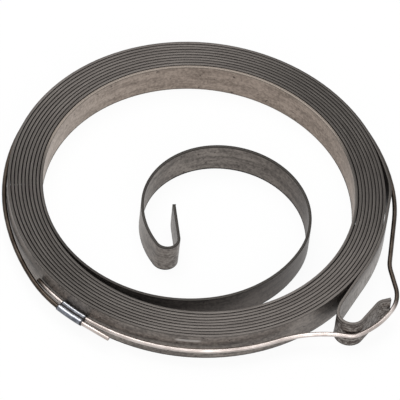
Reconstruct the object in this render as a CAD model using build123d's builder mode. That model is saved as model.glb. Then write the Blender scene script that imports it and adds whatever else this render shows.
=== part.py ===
from build123d import *

import os
from math import asin, atan2, copysign, cos, degrees, radians, sin, sqrt, tan

# Return spring: a flat spiral of steel strip, held wound by a wire ring with a crimped sleeve.
# The origin is on the axis of the wound coils, at their underside. +Z runs up the axis, and the
# outer hook is at +X, -Y. Seen from above, the strip runs outwards clockwise.

# Strip
strip_width = 6.5  # also the height of every coil
strip_thickness = 0.55
end_corner_radius = 0.9  # corners of both cut ends, seen on the strip's face

# Wound coils: half circles about two centres, each with half a pitch more radius than the last
coil_bore_radius = 30.4  # inner face of the innermost wound turn
turn_gap = 0.11
wound_turns = 9  # whole turns, before the last part turn
wound_start_angle = 200.0  # where the free coil meets the wound ones
turn_pitch = strip_thickness + turn_gap
inner_coil_radius = coil_bore_radius + strip_thickness / 2
outer_coil_radius = inner_coil_radius + wound_turns * turn_pitch
half_turn_radii = [inner_coil_radius + half_turn * turn_pitch / 2 for half_turn in range(2 * wound_turns)]

# Free coil, from the wound coils inwards, as bends of (radius, turn to the left)
free_coil = [(27.2, 90.0), (25.4, 47.0), (17.0, 116.0), (15.6, 98.0), (17.7, 27.0)]

# Inner hook
inner_hook_radius = 2.35
inner_hook_turn = 154.0
inner_hook_length = 8.2

# Outer limb: it rises off the coils, bends back beside them and runs straight to the outer hook
limb_start_angle = 33.0
limb_rise = 9.0  # of its radius over that of the coils, as it leaves them
limb_rise_turn = 18.3
limb_bend_radius = 17.9
limb_bend_turn = 16.0
limb_angle = -23.4  # direction from the axis at right angles to the straight
limb_clearance = 0.05  # beyond the gap between turns, where the limb comes back
limb_length = 9.3

# Outer hook, which opens away from the coils and flares at its tip
hook_lead_radius = 7.7
hook_lead_turn = 19.4
hook_radius = 2.6
hook_turn = 154.0
hook_length = 4.85
flare_radius = 2.6
flare_turn = 36.0
tip_land = 0.5  # flat between the flare and the rounded end corners

# Retaining wire, bent in a plane of its own that rises a little towards the outer hook
wire_diameter = 0.9
wire_tilt = 0.7
wire_gap = 0.53  # from the coils, round the back
wire_clearance = 0.05  # from the sleeve to the coils, and from the wire to the outer hook and its tip
dip_radius = 26.0  # hollow bend between the coils and the outer hook
tip_length = 0.7  # straight beyond the outer hook's tip
bow_radius = 4.3  # bend above that straight
bow_turn = 65.35
kink_radius = 8.0  # hollow bend between the bow and the coils
return_angle = 0.0  # where the wire runs level with the coils again
return_lead_angle = -0.8  # where it first curves with them
return_turn = 15.0
return_gap = 0.99  # from the coils, at the return angle

# Splice of the wire's two ends, side by side in the sleeve
splice_angle = 236.5
splice_gap = 0.42  # between the two wires
lead_out_angle = 182.0  # where the outer end starts to leave the coils
inner_end_length = 7.2
outer_end_length = 6.2
sleeve_length = 5.8
sleeve_wall = 0.2
sleeve_clearance = 0.02


def polar(radius, angle):
    """The point at a radius and an angle about the axis."""
    return Vector(radius, 0).rotate(Axis.Z, angle)


def direction(way):
    """The angle of a vector in the plan."""
    return degrees(atan2(way.Y, way.X))


def left_turn(first_heading, second_heading):
    """The turn to the left, under a full one, from one heading to another."""
    return (second_heading - first_heading) % 360


def draw_run(point, heading, bends, shift=0.0):
    """Draw tangent arcs and straights, all shifted to the left of the run, and return them.

    A bend is a radius and a turn, positive to the left, or a length and no turn.
    """
    point += polar(shift, heading + 90)
    pieces = []
    for size, turn in bends:
        start = tuple(point)
        if turn:
            radius = size - shift * copysign(1, turn)
            tangent = (cos(radians(heading)), sin(radians(heading)))
            pieces.append(JernArc(start, tangent, radius, turn))
            side = copysign(90, turn)
            point += polar(radius, heading + side) - polar(radius, heading + side + turn)
            heading += turn
        else:
            point += polar(size, heading)
            pieces.append(Line(start, tuple(point)))
    return pieces


def centre_touching(first, first_distance, second, second_distance):
    """The point at two distances from two centres, to the right of the way between them."""
    way = second - first
    along = (first_distance**2 - second_distance**2 + way.length**2) / (2 * way.length)
    across = sqrt(first_distance**2 - along**2)
    forward = way.normalized()
    return first + forward * along + forward.rotate(Axis.Z, -90) * across


def step_shift(inner_radius, outer_radius, turn):
    """Shift of two equal bends that lead from one circle to another about the same centre."""
    return (outer_radius - inner_radius) / (2 * (1 - cos(radians(turn))))


def straight_between(first, first_radius, second, second_radius):
    """Heading and length of the straight between two bends to the left."""
    way = second - first
    reach = first_radius - second_radius
    return direction(way) + degrees(asin(reach / way.length)), sqrt(way.length**2 - reach**2)


def straights_round(first, first_heading, second, second_heading, radius):
    """Lengths of the straights that lead from one point to another round a bend to the right."""
    way = second - first
    turn = radians(first_heading - second_heading)
    way_turn = radians(first_heading - direction(way))
    before = way.length * sin(turn - way_turn) / sin(turn)
    after = way.length * sin(way_turn) / sin(turn)
    return before - radius * tan(turn / 2), after - radius * tan(turn / 2)


# Spring strip: the outline of its edge, raised to the strip's width
half_thickness = strip_thickness / 2
join_to_limb = radians(wound_start_angle - 180 - limb_angle)
limb_distance = outer_coil_radius + turn_pitch / 2 * (1 - cos(join_to_limb)) + limb_clearance
limb_rise_radius = outer_coil_radius + limb_rise
limb_turn = limb_start_angle - limb_angle
limb_return_turn = limb_turn - limb_rise_turn - limb_bend_turn
limb_return_radius = (
    limb_distance
    + limb_rise * cos(radians(limb_turn))
    - (limb_rise_radius - limb_bend_radius) * cos(radians(limb_turn - limb_rise_turn))
    - limb_bend_radius * cos(radians(limb_return_turn))
) / (1 - cos(radians(limb_return_turn)))
wound_coils = [(radius, -180.0) for radius in half_turn_radii]
outer_coil = [(outer_coil_radius, limb_start_angle - wound_start_angle)]
outer_limb = [
    (limb_rise_radius, -limb_rise_turn),
    (limb_bend_radius, -limb_bend_turn),
    (limb_return_radius, -limb_return_turn),
    (limb_length, 0.0),
]
outer_hook = [
    (hook_lead_radius, hook_lead_turn),
    (hook_radius, hook_turn),
    (hook_length, 0.0),
    (flare_radius, -flare_turn),
    (tip_land + end_corner_radius, 0.0),
]
inner_hook = [(inner_hook_radius, inner_hook_turn), (inner_hook_length, 0.0)]
outward_bends = wound_coils + outer_coil + outer_limb + outer_hook
inward_bends = free_coil + inner_hook
wound_start = polar(inner_coil_radius, wound_start_angle)
outward_heading = wound_start_angle - 90
inward_heading = wound_start_angle + 90
with BuildPart() as spring_strip:
    with BuildSketch():
        with BuildLine():
            outward_left = draw_run(wound_start, outward_heading, outward_bends, half_thickness)
            outward_right = draw_run(wound_start, outward_heading, outward_bends, -half_thickness)
            inward_left = draw_run(wound_start, inward_heading, inward_bends, half_thickness)
            inward_right = draw_run(wound_start, inward_heading, inward_bends, -half_thickness)
            Line(outward_left[-1] @ 1, outward_right[-1] @ 1)
            Line(inward_left[-1] @ 1, inward_right[-1] @ 1)
        make_face()
    extrude(amount=strip_width)
    end_corners = spring_strip.edges().sort_by(SortBy.LENGTH)[:4]
    fillet(end_corners, radius=end_corner_radius)
spring_strip.part.label = "spring_strip"

# Circles of the wire: round the back, past the front under the sleeve's wall, and of the outer end
coil_face_radius = outer_coil_radius + half_thickness
bore_radius = wire_diameter / 2 + sleeve_clearance
sleeve_radius = bore_radius + sleeve_wall
wire_circle = coil_face_radius + wire_gap + wire_diameter / 2
return_circle = coil_face_radius + return_gap + wire_diameter / 2
near_circle = coil_face_radius + wire_clearance + sleeve_radius
splice_circle = near_circle + wire_diameter + splice_gap

# Wire round the outer hook and past its tip
with BuildLine():
    outer_end = draw_run(wound_start, outward_heading, outward_bends)
hook_centre = outer_end[-4].arc_center
tip = outer_end[-1]
tip_corner = tip @ 1 + (tip % 1).rotate(Axis.Z, -90) * half_thickness
tip_radius = wire_clearance + wire_diameter / 2
hook_wire_radius = hook_radius + half_thickness + tip_radius
tip_heading, hook_run = straight_between(hook_centre, hook_wire_radius, tip_corner, tip_radius)
bow_centre = tip_corner + polar(tip_length, tip_heading) + polar(bow_radius - tip_radius, tip_heading + 90)
bow_heading = tip_heading + bow_turn
bow_end = bow_centre + polar(bow_radius, bow_heading - 90)

# Wire from the coils to the outer hook, and from its tip back to the coils
dip_centre = centre_touching(
    Vector(0, 0), near_circle + dip_radius, hook_centre, hook_wire_radius + dip_radius
)
dip_heading = direction(dip_centre) + 90
hook_heading = direction(dip_centre - hook_centre) + 90
return_side = step_shift(wire_circle, return_circle, return_turn)
return_radius = return_circle - return_side
return_start = polar(return_side, return_angle) + polar(return_radius, return_lead_angle)
return_heading = return_lead_angle + 90
bow_run, kink_run = straights_round(bow_end, bow_heading, return_start, return_heading, kink_radius)

# Retaining wire, from its inner end round to its outer end
sleeve_angle = degrees(sleeve_length / near_circle)
sleeve_start_angle = splice_angle - sleeve_angle / 2
inner_end_angle = sleeve_start_angle - degrees(inner_end_length / near_circle)
lead_out_turn = (sleeve_start_angle - lead_out_angle) / 2
lead_out_side = step_shift(wire_circle, splice_circle, lead_out_turn)
wire_bends = [
    (near_circle, left_turn(inner_end_angle + 90, dip_heading)),
    (dip_radius, -left_turn(hook_heading, dip_heading)),
    (hook_wire_radius, left_turn(hook_heading, tip_heading)),
    (hook_run + tip_length, 0.0),
    (bow_radius, bow_turn),
    (bow_run, 0.0),
    (kink_radius, return_heading - bow_heading),
    (kink_run, 0.0),
    (return_radius, return_angle + return_turn - return_lead_angle),
    (wire_circle + return_side, return_turn),
    (wire_circle, lead_out_angle - return_angle - 2 * return_turn),
    (wire_circle + lead_out_side, lead_out_turn),
    (splice_circle - lead_out_side, lead_out_turn),
    (splice_circle, sleeve_angle),
    (outer_end_length, 0.0),
]
wire_plane = Plane.XY.offset(strip_width / 2).rotated((0, -wire_tilt, 0))
with BuildPart() as retaining_wire:
    with BuildLine(wire_plane):
        wire_run = draw_run(polar(near_circle, inner_end_angle), inner_end_angle + 90, wire_bends)
    with BuildSketch(Plane(origin=wire_run[0] @ 0, z_dir=wire_run[0] % 0)):
        Circle(wire_diameter / 2)
    sweep()
retaining_wire.part.label = "retaining_wire"

# Splice sleeve: two joined tubes, bent round with the wires
sleeve_bend = wire_run[-2]
wire_centre = wire_plane.origin
sleeve_plane = Plane(origin=wire_centre, x_dir=sleeve_bend @ 0 - wire_centre, z_dir=sleeve_bend % 0)
with BuildPart() as splice_sleeve:
    with BuildSketch(sleeve_plane):
        with Locations((near_circle, 0), (splice_circle, 0)):
            Circle(sleeve_radius)
        with Locations(((near_circle + splice_circle) / 2, 0)):
            Rectangle(splice_circle - near_circle, wire_diameter)
        with Locations((near_circle, 0), (splice_circle, 0)):
            Circle(bore_radius, mode=Mode.SUBTRACT)
    revolve(axis=Axis(wire_centre, wire_plane.z_dir), revolution_arc=sleeve_angle)
splice_sleeve.part.label = "splice_sleeve"

os.makedirs("parts", exist_ok=True)
for piece in (spring_strip, retaining_wire, splice_sleeve):
    export_step(piece.part, f"parts/{piece.part.label}.step")
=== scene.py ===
from math import atan2, ceil, copysign, cos, degrees, pi, radians, sin

import bmesh
import bpy
from mathutils import Matrix, Vector


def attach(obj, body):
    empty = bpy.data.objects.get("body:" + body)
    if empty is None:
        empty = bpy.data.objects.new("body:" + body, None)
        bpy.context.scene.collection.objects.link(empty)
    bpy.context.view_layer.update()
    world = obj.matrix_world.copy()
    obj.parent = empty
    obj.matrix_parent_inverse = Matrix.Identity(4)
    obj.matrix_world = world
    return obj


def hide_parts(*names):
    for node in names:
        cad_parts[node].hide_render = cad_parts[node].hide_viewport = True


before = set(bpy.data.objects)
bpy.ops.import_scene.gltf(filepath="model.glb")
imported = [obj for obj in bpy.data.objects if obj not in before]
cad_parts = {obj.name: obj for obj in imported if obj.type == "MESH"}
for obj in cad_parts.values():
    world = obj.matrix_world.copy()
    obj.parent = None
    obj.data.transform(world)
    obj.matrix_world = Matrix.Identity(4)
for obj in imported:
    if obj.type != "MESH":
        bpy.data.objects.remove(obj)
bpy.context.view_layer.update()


# Spring strip. One length of hardened steel strip, rolled thin and slit to width. It is wound into
# nine and a half close turns round a free coil, and both ends are bent into hooks. Sizes are in
# millimetres, and the run starts at the inner hook's cut end.
strip_width = 6.5
strip_thickness = 0.55
strip_edge_round = 0.06
strip_edge_segments = 3
strip_turn_step = 3.0
inner_corner_radius = 0.9
hook_low_corner_radius = 1.35
hook_high_corner_radius = 1.2
corner_segments = 6
sharp_edge_angle = 60.0
length_tolerance = 1e-3

# Each bend is a radius and a turn to the left, in degrees, and each straight a length and no turn.
inner_end = Vector((-4.4316, -5.3043, 0))
inner_end_heading = -78.0
inner_hook_bends = [(8.2, 0), (2.35, -154)]
free_coil_bends = [(17.7, -27), (15.6, -98), (17.0, -116), (25.4, -47), (27.2, -90)]
last_turn_bends = [(36.84, -167)]
limb_bends = [(47, -16.5), (14, -20.47), (5.57, 0), (37.105, -19.43), (9.751, 0)]
outer_hook_bends = [(7.7, 19.4), (2.6, 154), (4.85, 0), (2.6, -36), (1.4, 0)]

# The turns lie a little further apart at the left than at the right, so that each half of a turn
# has a radius of its own. The innermost turn stands a little further off the next one.
innermost_radius = 30.675
left_step = 0.35
right_step = 0.335
half_turns = 18
first_turn_slack = 0.03
wound_bends = []
for half_turn in range(half_turns):
    half_radius = innermost_radius + (half_turn + 1) // 2 * left_step + half_turn // 2 * right_step
    if half_turn < 2:
        half_radius -= first_turn_slack
    wound_bends.append((half_radius, -180))


def sweep(mesh, section, point, heading, bends, turn_step):
    """Take a section along bends of (radius, turn to the left) and straights of (length, 0).

    Each new ring is marked with the distance that the run has come. Gives the last ring.
    """
    along = mesh.verts.layers.float["along"]
    distance = 0.0
    for size, turn in bends:
        steps = max(1, ceil(abs(turn) / turn_step))
        for _ in range(steps):
            side = Vector((0, copysign(size, turn), 0))
            side.rotate(Matrix.Rotation(radians(heading), 3, "Z"))
            forward = Vector((cos(radians(heading)), sin(radians(heading)), 0)) * size
            spun = bmesh.ops.spin(
                mesh,
                geom=section,
                cent=point + side,
                axis=(0, 0, 1),
                dvec=(0, 0, 0) if turn else forward,
                angle=radians(turn / steps),
                steps=1,
            )
            section = spun["geom_last"]
            if turn:
                centre = point + side
                side.rotate(Matrix.Rotation(radians(turn / steps), 3, "Z"))
                point = centre - side
                heading += turn / steps
                distance += size * radians(abs(turn) / steps)
            else:
                point = point + forward
                distance += size
            for corner in section:
                if isinstance(corner, bmesh.types.BMVert):
                    corner[along] = distance
    return section


def edges_of(ring):
    """The edges in a ring, which also lists its corners."""
    return [part for part in ring if isinstance(part, bmesh.types.BMEdge)]


def close_end(mesh, ring):
    """Put a face across the end of a run."""
    bmesh.ops.contextual_create(mesh, geom=edges_of(ring))


def round_off(mesh, edges, radius, segments):
    """Round edges off."""
    bmesh.ops.bevel(
        mesh,
        geom=edges,
        offset=radius,
        segments=segments,
        profile=0.5,
        affect="EDGES",
        material=-1,
    )


def finish_piece(mesh, name):
    """Turn a mesh in millimetres into a shaded object in metres that stands in the spring's frame."""
    metres = 0.001
    sharp_angle = radians(40.0)
    bmesh.ops.recalc_face_normals(mesh, faces=mesh.faces)
    bmesh.ops.scale(mesh, vec=(metres, metres, metres), verts=mesh.verts)
    for face in mesh.faces:
        face.smooth = True
    for edge in mesh.edges:
        edge.smooth = not edge.is_manifold or edge.calc_face_angle(0) < sharp_angle
    data = bpy.data.meshes.new(name)
    mesh.to_mesh(data)
    mesh.free()
    piece = bpy.data.objects.new(name, data)
    bpy.context.scene.collection.objects.link(piece)
    return piece


strip = bmesh.new()
strip.verts.layers.float.new("along")
across = strip.verts.layers.float.new("across")
start_side = Vector((0, strip_thickness / 2, 0))
start_side.rotate(Matrix.Rotation(radians(inner_end_heading), 3, "Z"))
outer_low = strip.verts.new(inner_end + start_side)
inner_low = strip.verts.new(inner_end - start_side)
outer_low[across] = 1.0
inner_low[across] = -1.0
low_edge = strip.edges.new((outer_low, inner_low))
rise = bmesh.ops.extrude_edge_only(strip, edges=[low_edge])["geom"]
raised = [part for part in rise if isinstance(part, bmesh.types.BMVert)]
bmesh.ops.translate(strip, vec=(0, 0, strip_width), verts=raised)
bmesh.ops.delete(strip, geom=strip.faces[:], context="FACES_ONLY")
first_ring = strip.verts[:] + strip.edges[:]
strip_bends = inner_hook_bends + free_coil_bends + wound_bends
strip_bends += last_turn_bends + limb_bends + outer_hook_bends
last_ring = sweep(
    strip, first_ring, inner_end, inner_end_heading, strip_bends, strip_turn_step
)
close_end(strip, first_ring)
close_end(strip, last_ring)

# The faces aren't turned to point the same way before these edges are rounded off. That is why the
# lower edges' rounding stands out below the strip, and why the cut ends stay open at their corners.
cut_corners = [
    edge
    for edge in edges_of(first_ring) + edges_of(last_ring)
    if abs(edge.calc_length() - strip_thickness) < length_tolerance
]
hook_low_corner, hook_high_corner = sorted(cut_corners[2:], key=lambda edge: edge.verts[0].co.z)
round_off(strip, cut_corners[:2], inner_corner_radius, corner_segments)
round_off(strip, [hook_low_corner], hook_low_corner_radius, corner_segments)
round_off(strip, [hook_high_corner], hook_high_corner_radius, corner_segments)
strip_edges = [edge for edge in strip.edges if edge.calc_face_angle(0) > radians(sharp_edge_angle)]
round_off(strip, strip_edges, strip_edge_round, strip_edge_segments)
spring = finish_piece(strip, "wound_strip")


class Value:
    """A node's output that takes part in plain sums. Each sum adds its Math node."""

    def __init__(self, finish, socket):
        self.finish = finish
        self.socket = socket

    def __add__(self, other):
        return self.finish.maths("ADD", self, other)

    def __sub__(self, other):
        return self.finish.maths("SUBTRACT", self, other)

    def __rsub__(self, other):
        return self.finish.maths("SUBTRACT", other, self)

    def __mul__(self, other):
        return self.finish.maths("MULTIPLY", self, other)

    __radd__ = __add__
    __rmul__ = __mul__


class Finish:
    """The nodes of a material or of the world, which are all added by node()."""

    def __init__(self, owner):
        self.owner = owner
        owner.use_nodes = True
        self.tree = owner.node_tree
        self.tree.nodes.clear()

    def node(self, kind, settings=None, sockets=None, output=0):
        """Add a node: its settings first, then the values and links of its sockets."""
        node = self.tree.nodes.new("ShaderNode" + kind)
        for name, setting in (settings or {}).items():
            setattr(node, name, setting)
        for name, value in (sockets or {}).items():
            if isinstance(value, Value):
                self.tree.links.new(value.socket, node.inputs[name])
            else:
                node.inputs[name].default_value = value
        return Value(self, node.outputs[output]) if node.outputs else None

    def maths(self, operation, first, second):
        return self.node("Math", {"operation": operation}, {0: first, 1: second})

    def step(self, value, low, high):
        """From 0 at low to 1 at high, smooth at both ends."""
        ends = {"Value": value, "From Min": low, "From Max": high}
        return self.node("MapRange", {"interpolation_type": "SMOOTHSTEP"}, ends)

    def band(self, value, low, high, fade):
        """1 between low and high, and 0 beyond, over a fade at both ends."""
        return self.step(value, low - fade, low) * (1 - self.step(value, high, high + fade))

    def mix(self, factor, first, second):
        """One colour turning into another as the factor rises from 0 to 1."""
        shades = [(*shade, 1.0) if isinstance(shade, tuple) else shade for shade in (first, second)]
        sockets = {0: factor, 6: shades[0], 7: shades[1]}
        return self.node("Mix", {"data_type": "RGBA"}, sockets, output=2)

    def noise(self, place, scale, detail, roughness):
        """Cloudy noise from about 0.2 to 0.8."""
        sockets = {"Vector": place, "Scale": scale, "Detail": detail, "Roughness": roughness}
        return self.node("TexNoise", None, sockets)

    def place(self, x, y, z):
        return self.node("CombineXYZ", None, {0: x, 1: y, 2: z})

    def attribute(self, name):
        """A number that the mesh's corners carry."""
        return self.node("Attribute", {"attribute_name": name}, output="Fac")

    def bump(self, strength, depth, height):
        """Fine relief, with its depth in metres."""
        sockets = {"Strength": strength, "Distance": depth, "Height": height}
        return self.node("Bump", None, sockets)

    def surface(self, **sockets):
        """Finish with a plain glossy surface. Names are its sockets', with _ for a space."""
        named = {name.replace("_", " "): value for name, value in sockets.items()}
        shader = self.node("BsdfPrincipled", None, named)
        self.node("OutputMaterial", None, {"Surface": shader})
        return self.owner


steel = Finish(bpy.data.materials.new("spring_steel"))
distance = steel.attribute("along")
side = steel.attribute("across")
position = steel.node("TexCoord", output="Object")
east, north, height = (
    steel.node("SeparateXYZ", None, {0: position}, output=axis) * 1000 for axis in range(3)
)
edge_depth = 0.3
edge_fade = 0.15
flat_edge = 1 - steel.band(height, edge_depth, strip_width - edge_depth, edge_fade)
inner_face = steel.step(side, 0.5, -0.5)

# Stretches of the strip, as distances along it from the inner end.
hooks_beyond = (16.0, 2192.0)
grey_free_coil_end = (42.0, 78.0)
free_coil_end = (140.0, 150.0)
bore_stretch = (150.0, 262.0)
bright_bore_end = (150.0, 205.0)
pale_bore_edge = (170.0, 232.0)
outermost_turn_start = (1920.0, 1940.0)
scuffed_stretch = (1998.6, 2002.2)
limb_stretch = (2166.0, 2196.0)

# Heights on the strip's face, where a mark lies or fades.
scuff_heights = (4.9, 5.2)
limb_light_end = (3.6, 5.6)
limb_stain_start = (4.2, 6.0)

# The rolled faces carry fine streaks along the strip, cloudy stains and a few dark specks. They are
# greyer on the free coil by its hook, and on the outermost turn.
streaks = steel.noise(steel.place(distance * 0.05, height * 5, side), 1.0, 4.0, 0.7)
clouds = steel.noise(steel.place(distance * 0.16, height * 0.5, side * 3), 1.0, 3.0, 0.6)
mottle = steel.noise(steel.place(distance, height, side * 7), 1.6, 4.0, 0.65)
speck_noise = steel.noise(steel.place(distance, height, side * 11), 1.1, 2.0, 0.5)
specks = steel.step(speck_noise, 0.66, 0.73)
tone = steel.step(0.3 * streaks + 0.3 * clouds + 0.4 * mottle, 0.4, 0.6)
dark_shade = steel.mix(tone, (0.05, 0.042, 0.038), (0.13, 0.112, 0.1))
grey_shade = steel.mix(tone, (0.1, 0.088, 0.08), (0.25, 0.222, 0.2))
near_hook = 1 - steel.step(distance, *grey_free_coil_end)
outermost = steel.step(distance, *outermost_turn_start) * (1 - inner_face)
face_shade = steel.mix(near_hook + outermost, dark_shade, grey_shade)

# The limb is rubbed light in short streaks across it, and stained along its upper edge.
across_streaks = steel.noise(steel.place(distance * 1.4, height * 0.25, side * 5), 1.0, 3.0, 0.6)
limb = steel.band(distance, *limb_stretch, 5.0) * (1 - inner_face)
limb_light = limb * steel.step(across_streaks, 0.4, 0.6)
limb_light = limb_light * (1 - steel.step(height, *limb_light_end))
limb_stain = limb * steel.step(height, *limb_stain_start)
face_shade = steel.mix(limb_light * 0.6, face_shade, (0.4, 0.375, 0.355))
face_shade = steel.mix(limb_stain * 0.55, face_shade, (0.05, 0.04, 0.036))

# The innermost turn's bore is paler and warmer, and palest where the free coil runs into it.
bore = steel.band(distance, *bore_stretch, 6.0) * inner_face
bore_shade = steel.mix(tone, (0.172, 0.138, 0.115), (0.345, 0.284, 0.241))
bright_shade = steel.mix(tone, (0.288, 0.244, 0.21), (0.512, 0.445, 0.395))
bright_bore = 1 - steel.step(distance, *bright_bore_end)
bore_shade = steel.mix(bright_bore, bore_shade, bright_shade)
face_shade = steel.mix(bore, face_shade, bore_shade)

# Both hooks are stained brown and rubbed in patches.
hooks = 1 - steel.band(distance, *hooks_beyond, 8.0)
rubbed_and_reflection = hooks * steel.step(0.6 * mottle + 0.4 * streaks, 0.46, 0.58)
face_shade = steel.mix(hooks * 0.35, face_shade, (0.07, 0.052, 0.045))
face_shade = steel.mix(rubbed_and_reflection * 0.8, face_shade, (0.3, 0.28, 0.26))

# The slit edges are paler at the bore and nearly black on the free coil. On the others, painted
# shade lies towards the back right and the front left, where the lean is highest, and a painted
# sheen lies between, for the light that the rolled edges catch round the ring.
lean_for_painted_shade = 1050.0
edge_tone = steel.noise(steel.place(distance * 0.08, side * 0.6, 0.0), 1.0, 4.0, 0.6)
edge_tone = steel.step(edge_tone, 0.3, 0.7)
# A lit and a shaded copy of the edge tone, for the painted sheen and the painted shade.
painted_lit_edge = steel.mix(edge_tone, (0.066, 0.058, 0.053), (0.108, 0.097, 0.089))
painted_shaded_edge = steel.mix(edge_tone, (0.036, 0.032, 0.029), (0.062, 0.056, 0.051))
lean = 0.5 * (east * east - north * north) + 1.73 * east * north
painted_shade_share = steel.step(lean, -lean_for_painted_shade, lean_for_painted_shade)
edge_shade = steel.mix(painted_shade_share, painted_lit_edge, painted_shaded_edge)
bore_edge = steel.band(distance, *pale_bore_edge, 12.0)
edge_shade = steel.mix(bore_edge, edge_shade, (0.17, 0.145, 0.125))
free_edge = 1 - steel.step(distance, *free_coil_end)
edge_shade = steel.mix(free_edge * 0.78, edge_shade, (0.016, 0.014, 0.012))

# One short bright scuff lies near the upper edge of the outermost turn, in front.
scuff = steel.band(distance, *scuffed_stretch, 1.0) * steel.band(height, *scuff_heights, 0.3)
face_shade = steel.mix(scuff * outermost * 0.7, face_shade, (0.5, 0.48, 0.46))
shade = steel.mix(flat_edge, face_shade, edge_shade)
shade = steel.mix(specks * (1 - flat_edge) * 0.75, shade, (0.018, 0.013, 0.01))
steel.surface(
    Base_Color=shade,
    Metallic=0.85,
    Roughness=0.34 + 0.2 * mottle,
    Normal=steel.bump(0.25, 0.00003, 0.6 * streaks + 0.4 * mottle),
)
spring.data.materials.append(steel.owner)
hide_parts("spring_strip")
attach(spring, "root")


# Retaining wire. A ring of drawn steel wire that holds the spring wound until it is fitted. It was
# bent flat, and lies a little higher at the hook. It starts just short of the sleeve, runs through
# it, follows the coils in front, goes round the outer hook, and comes back round the coils.
wire_diameter = 0.9
wire_sides = 16
wire_turn_step = 3.0
wire_cut_round = 0.07
wire_cut_segments = 2
wire_tilt = 0.7
wire_middle_height = strip_width / 2
wire_start_radius = 37.8
wire_start_angle = 221.191
wire_bends = [(37.8, 77.47), (26, -30.732), (3.375, 35.618), (16.46, 33.111), (7.425, 40.871)]
wire_bends += [(4.154, 0), (8, -18.33), (10.143, 0), (31.58, 15.8), (44.62, 15), (37.87, 166.104)]
wire_bends += [(50.64, 18), (26.35, 18), (39.12, 8.791), (6.2, 0)]

# It is pressed in to the coils at the left.
pressed_depth = 0.16
pressed_angle = 182
pressed_spread = 30


def stand_up(mesh):
    """Turn a section that was made flat, so that a run can start from it."""
    bmesh.ops.rotate(mesh, cent=(0, 0, 0), matrix=Matrix.Rotation(pi / 2, 3, "X"), verts=mesh.verts)


def swing(mesh, radius, angle):
    """Take a section out to a radius and round to an angle. Gives its middle."""
    bmesh.ops.translate(mesh, vec=(radius, 0, 0), verts=mesh.verts)
    turn = Matrix.Rotation(radians(angle), 3, "Z")
    bmesh.ops.rotate(mesh, cent=(0, 0, 0), matrix=turn, verts=mesh.verts)
    return turn @ Vector((radius, 0, 0))


def tilt(mesh):
    """Turn what was made flat into the plane of the wire."""
    turn = Matrix.Rotation(-radians(wire_tilt), 3, "Y")
    bmesh.ops.rotate(mesh, cent=(0, 0, 0), matrix=turn, verts=mesh.verts)
    bmesh.ops.translate(mesh, vec=(0, 0, wire_middle_height), verts=mesh.verts)


wire = bmesh.new()
wire.verts.layers.float.new("along")
bmesh.ops.create_circle(wire, segments=wire_sides, radius=wire_diameter / 2)
stand_up(wire)
wire_start = swing(wire, wire_start_radius, wire_start_angle)
first_ring = wire.verts[:] + wire.edges[:]
wire_heading = wire_start_angle + 90
last_ring = sweep(wire, first_ring, wire_start, wire_heading, wire_bends, wire_turn_step)
close_end(wire, first_ring)
close_end(wire, last_ring)
round_off(wire, edges_of(first_ring) + edges_of(last_ring), wire_cut_round, wire_cut_segments)
for corner in wire.verts:
    outwards = Vector((corner.co.x, corner.co.y, 0)).normalized()
    angle = degrees(atan2(outwards.y, outwards.x)) % 360
    from_middle = (angle - pressed_angle) / pressed_spread
    corner.co -= outwards * pressed_depth * max(0.0, 1 - from_middle ** 2) ** 2
tilt(wire)
ring = finish_piece(wire, "wire_ring")

# Its colour is painted dark, a painted reflection of dark surroundings, from the hook's tip round
# the back to the sleeve, and it is dark at its first end too. Along the front it is painted bright, a
# painted reflection of the lamps.
bright = Finish(bpy.data.materials.new("wire_steel"))
distance = bright.attribute("along")
position = bright.node("TexCoord", output="Object")
dark_reflection_stretch = (79.0, 256.0)
dark_first_end = (0.5, 5.0)
clouds = bright.noise(bright.place(distance * 0.15, 0.0, 0.0), 1.0, 3.0, 0.6)
cloud_tone = bright.step(clouds, 0.3, 0.7)
grain = bright.noise(position, 2500.0, 3.0, 0.6)
rubbed_and_reflection = (1 - bright.band(distance, *dark_reflection_stretch, 4.0)) * bright.step(distance, *dark_first_end)
# A painted dark reflection, which also darkens the first end, and a painted bright reflection.
painted_dark_reflection = bright.mix(cloud_tone, (0.024, 0.018, 0.014), (0.075, 0.06, 0.049))
painted_bright_reflection = bright.mix(cloud_tone, (0.36, 0.31, 0.285), (0.64, 0.58, 0.55))
bright.surface(
    Base_Color=bright.mix(rubbed_and_reflection, painted_dark_reflection, painted_bright_reflection),
    Metallic=1.0,
    Roughness=0.3 + 0.15 * grain,
    Normal=bright.bump(0.15, 0.00001, grain),
)
ring.data.materials.append(bright.owner)
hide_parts("retaining_wire")
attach(ring, "root")


# Splice sleeve. A short length of soft steel tube, pressed flat round the wire's two ends so that it
# grips both. The press leaves a valley between the wires. It is a closed block here, and the wires
# run through it.
sleeve_near_radius = 37.8
sleeve_far_radius = 39.12
sleeve_half_height = 0.62
sleeve_sides = 40
sleeve_start_angle = 232.104
sleeve_angle = 8.791
sleeve_turn_step = 0.6
sleeve_mouth_round = 0.1
sleeve_mouth_segments = 2
sleeve_waist = 0.12
valley_depth = 0.36
valley_width_share = 0.95
valley_power = 1.3
ridge_fall = 2
ridge_power = 8
groove_fall = 1.6

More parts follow.
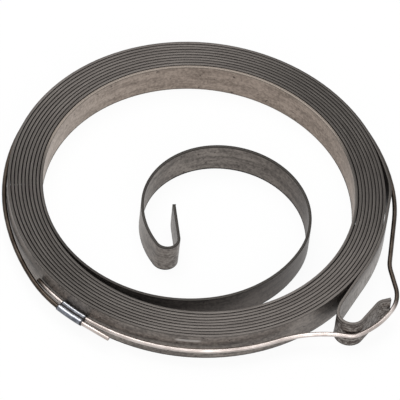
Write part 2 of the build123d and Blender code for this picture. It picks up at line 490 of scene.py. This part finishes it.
# The ridge layer is 1 along the tops of both wires and falls to -1 in the valley. It places the
# sleeve's painted highlights, and its painted shade in the valley.
sleeve = bmesh.new()
sleeve.verts.layers.float.new("along")
ridge = sleeve.verts.layers.float.new("ridge")
bmesh.ops.create_circle(sleeve, segments=sleeve_sides, radius=sleeve_half_height)
half_spread = (sleeve_far_radius - sleeve_near_radius) / 2
for corner in sleeve.verts:
    corner.co.x += copysign(half_spread, corner.co.x) * min(1.0, abs(corner.co.x) / sleeve_waist)
    from_middle = abs(corner.co.x) / half_spread
    valley = valley_depth * max(0.0, 1 - from_middle / valley_width_share) ** valley_power
    on_wire = min(1.0, max(0.0, 1 - abs(from_middle - 1) * ridge_fall))
    height_share = (corner.co.y / sleeve_half_height) ** ridge_power
    corner[ridge] = on_wire * height_share - max(0.0, 1 - from_middle * groove_fall)
    corner.co.y *= 1 - valley
stand_up(sleeve)
middle_radius = (sleeve_near_radius + sleeve_far_radius) / 2
sleeve_start = swing(sleeve, middle_radius, sleeve_start_angle)
first_ring = sleeve.verts[:] + sleeve.edges[:]
sleeve_bends = [(middle_radius, sleeve_angle)]
sleeve_heading = sleeve_start_angle + 90
last_ring = sweep(
    sleeve, first_ring, sleeve_start, sleeve_heading, sleeve_bends, sleeve_turn_step
)
close_end(sleeve, first_ring)
close_end(sleeve, last_ring)
mouth_edges = edges_of(first_ring) + edges_of(last_ring)
round_off(sleeve, mouth_edges, sleeve_mouth_round, sleeve_mouth_segments)
tilt(sleeve)
splice = finish_piece(sleeve, "pressed_sleeve")

# Painted highlights lie along its ridges, with painted shade in the valley and a painted shadow
# at both mouths.
satin = Finish(bpy.data.materials.new("sleeve_steel"))
distance = satin.attribute("along")
highlight_and_shade_share = satin.attribute("ridge")
position = satin.node("TexCoord", output="Object")
between_mouths = (0.35, 5.45)
grain = satin.noise(position, 900.0, 3.0, 0.6)
painted_mouth_shadow = 1 - satin.band(distance, *between_mouths, 0.2)
shade = satin.mix(satin.step(grain, 0.3, 0.7), (0.11, 0.116, 0.133), (0.22, 0.231, 0.262))
shade = satin.mix(satin.step(highlight_and_shade_share, 0.2, 0.9), shade, (0.82, 0.84, 0.88))
shade = satin.mix(satin.step(highlight_and_shade_share, -0.1, -0.7), shade, (0.03, 0.027, 0.025))
shade = satin.mix(painted_mouth_shadow * 0.85, shade, (0.03, 0.028, 0.028))
satin.surface(
    Base_Color=shade,
    Metallic=1.0,
    Roughness=0.3 + 0.15 * grain,
    Normal=satin.bump(0.15, 0.00002, grain),
)
splice.data.materials.append(satin.owner)
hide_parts("splice_sleeve")
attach(splice, "root")


# Studio. The spring lies on a white table under one large soft lamp, with a weaker one in front.
# The table and the room are white to the camera and to the steel, and the table keeps its shadow.
# The table is a little lower than the spring's underside, and is clear from below.
table_half_width = 1500
table_drop = 0.07
table_white = 0.93
room_dimness = 0.45


def seen_directly(finish):
    """1 to the camera and in what steel and glass show of it, and 0 to the light that it gives."""
    seen = finish.node("LightPath", output="Is Camera Ray")
    for ray in ("Is Glossy Ray", "Is Transmission Ray"):
        seen = finish.maths("MAXIMUM", seen, finish.node("LightPath", output=ray))
    return seen


table = bmesh.new()
bmesh.ops.create_grid(table, x_segments=1, y_segments=1, size=table_half_width)
bmesh.ops.translate(table, vec=(0, 0, -table_drop), verts=table.verts)
table_top = finish_piece(table, "table_top")
white = Finish(bpy.data.materials.new("white_table"))
matt = white.node("BsdfDiffuse", None, {"Color": (0.86, 0.86, 0.86, 1)})
glow = white.node("Emission", None, {"Color": (1, 1, 1, 1), "Strength": 1.0})
clear = white.node("BsdfTransparent")
shown = seen_directly(white) * table_white
upper_side = white.node("MixShader", None, {0: shown, 1: matt, 2: glow})
from_below = white.node("NewGeometry", output="Backfacing")
both_sides = white.node("MixShader", None, {0: from_below, 1: upper_side, 2: clear})
white.node("OutputMaterial", None, {"Surface": both_sides})
table_top.data.materials.append(white.owner)

room = Finish(bpy.data.worlds.new("white_room"))
strength = room_dimness + seen_directly(room) * (1 - room_dimness)
sky = room.node("Background", None, {"Color": (1, 1, 1, 1), "Strength": strength})
room.node("OutputWorld", None, {"Surface": sky})
bpy.context.scene.world = room.owner


def lamp(name, width, power, place):
    """A square soft lamp that points at the spring."""
    light = bpy.data.lights.new(name, "AREA")
    light.size = width
    light.energy = power
    fitting = bpy.data.objects.new(name, light)
    fitting.location = place
    fitting.rotation_euler = (-Vector(place)).to_track_quat("-Z", "Y").to_euler()
    bpy.context.scene.collection.objects.link(fitting)


lamp("top_lamp", 0.5, 3.0, (-0.1, 0.15, 0.6))
lamp("front_lamp", 0.4, 1.2, (0.15, -0.5, 0.35))

# Camera, far off and well above the spring, with a long lens and a slight roll.
view_distance = 0.9836
view_elevation = radians(50.499)
view_roll = radians(6.8897)
view_target = Vector((0.000414, 0.001916, 0))
lens = bpy.data.cameras.new("camera")
lens.sensor_width = 36.0
lens.lens = 453.81
camera = bpy.data.objects.new("camera", lens)
back = Vector((0, -cos(view_elevation), sin(view_elevation)))
level_right = Vector((1, 0, 0))
level_up = back.cross(level_right)
right = level_right * cos(view_roll) + level_up * sin(view_roll)
up = back.cross(right)
camera_turn = Matrix((right, up, back)).transposed().to_4x4()
camera.matrix_world = Matrix.Translation(view_target + back * view_distance) @ camera_turn
bpy.context.scene.collection.objects.link(camera)
bpy.context.scene.camera = camera
bpy.context.scene.view_settings.view_transform = "Standard"
